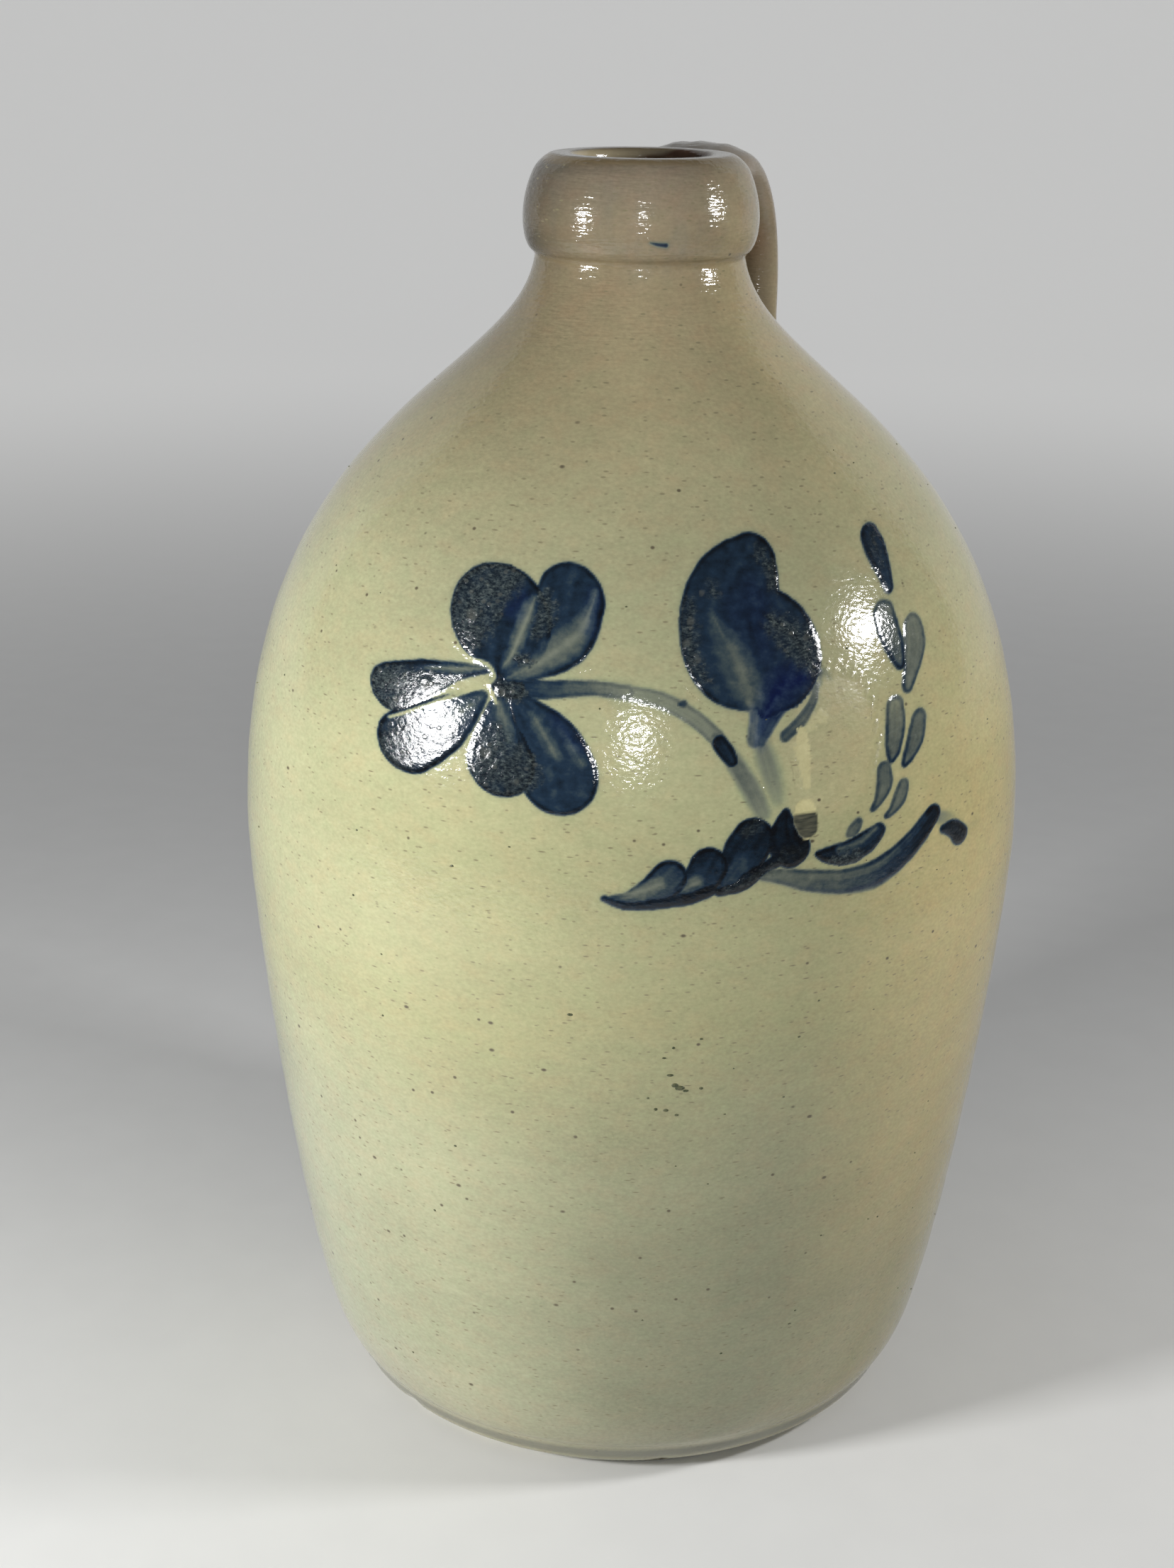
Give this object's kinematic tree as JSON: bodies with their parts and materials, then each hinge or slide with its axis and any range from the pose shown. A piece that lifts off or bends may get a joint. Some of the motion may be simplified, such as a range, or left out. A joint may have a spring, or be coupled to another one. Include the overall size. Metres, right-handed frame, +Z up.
{
  "type": "stoneware jug",
  "caption": "Salt-glazed stoneware jug with a rounded shoulder, narrow collared mouth, pulled strap handle and brushed blue flowers on the front.",
  "frame": {"origin": "centre of the flat underside, on the surface that the jug stands on", "axes": "+Z up along the axis that the jug was thrown about, +Y towards the handle, -Y towards the front that carries the flowers"},
  "size_m": [0.1764, 0.1764, 0.2837],
  "materials": {
    "salt_glazed_stoneware": "gloss",
    "brown_slip": "satin",
    "blue_slip": "gloss"
  },
  "bodies": {
    "root": {"bottom": "salt_glazed_stoneware", "heel": "salt_glazed_stoneware", "lower_wall": "salt_glazed_stoneware", "belly": "salt_glazed_stoneware", "shoulder": "salt_glazed_stoneware", "upper_shoulder": "salt_glazed_stoneware", "neck": "salt_glazed_stoneware", "collar": "salt_glazed_stoneware", "strap_handle": "salt_glazed_stoneware", "upper_join": "salt_glazed_stoneware", "lower_join": "salt_glazed_stoneware", "slip_lining": "brown_slip", "blossom_petals": "blue_slip", "blossom_eye": "blue_slip", "blossom_stem": "blue_slip", "bud": "blue_slip", "bud_stalk": "blue_slip", "frond": "blue_slip", "sprig_leaves": "blue_slip", "sprig_knot": "blue_slip", "sprig_curl": "blue_slip", "collar_dab": "blue_slip"}
  },
  "joints": []
}
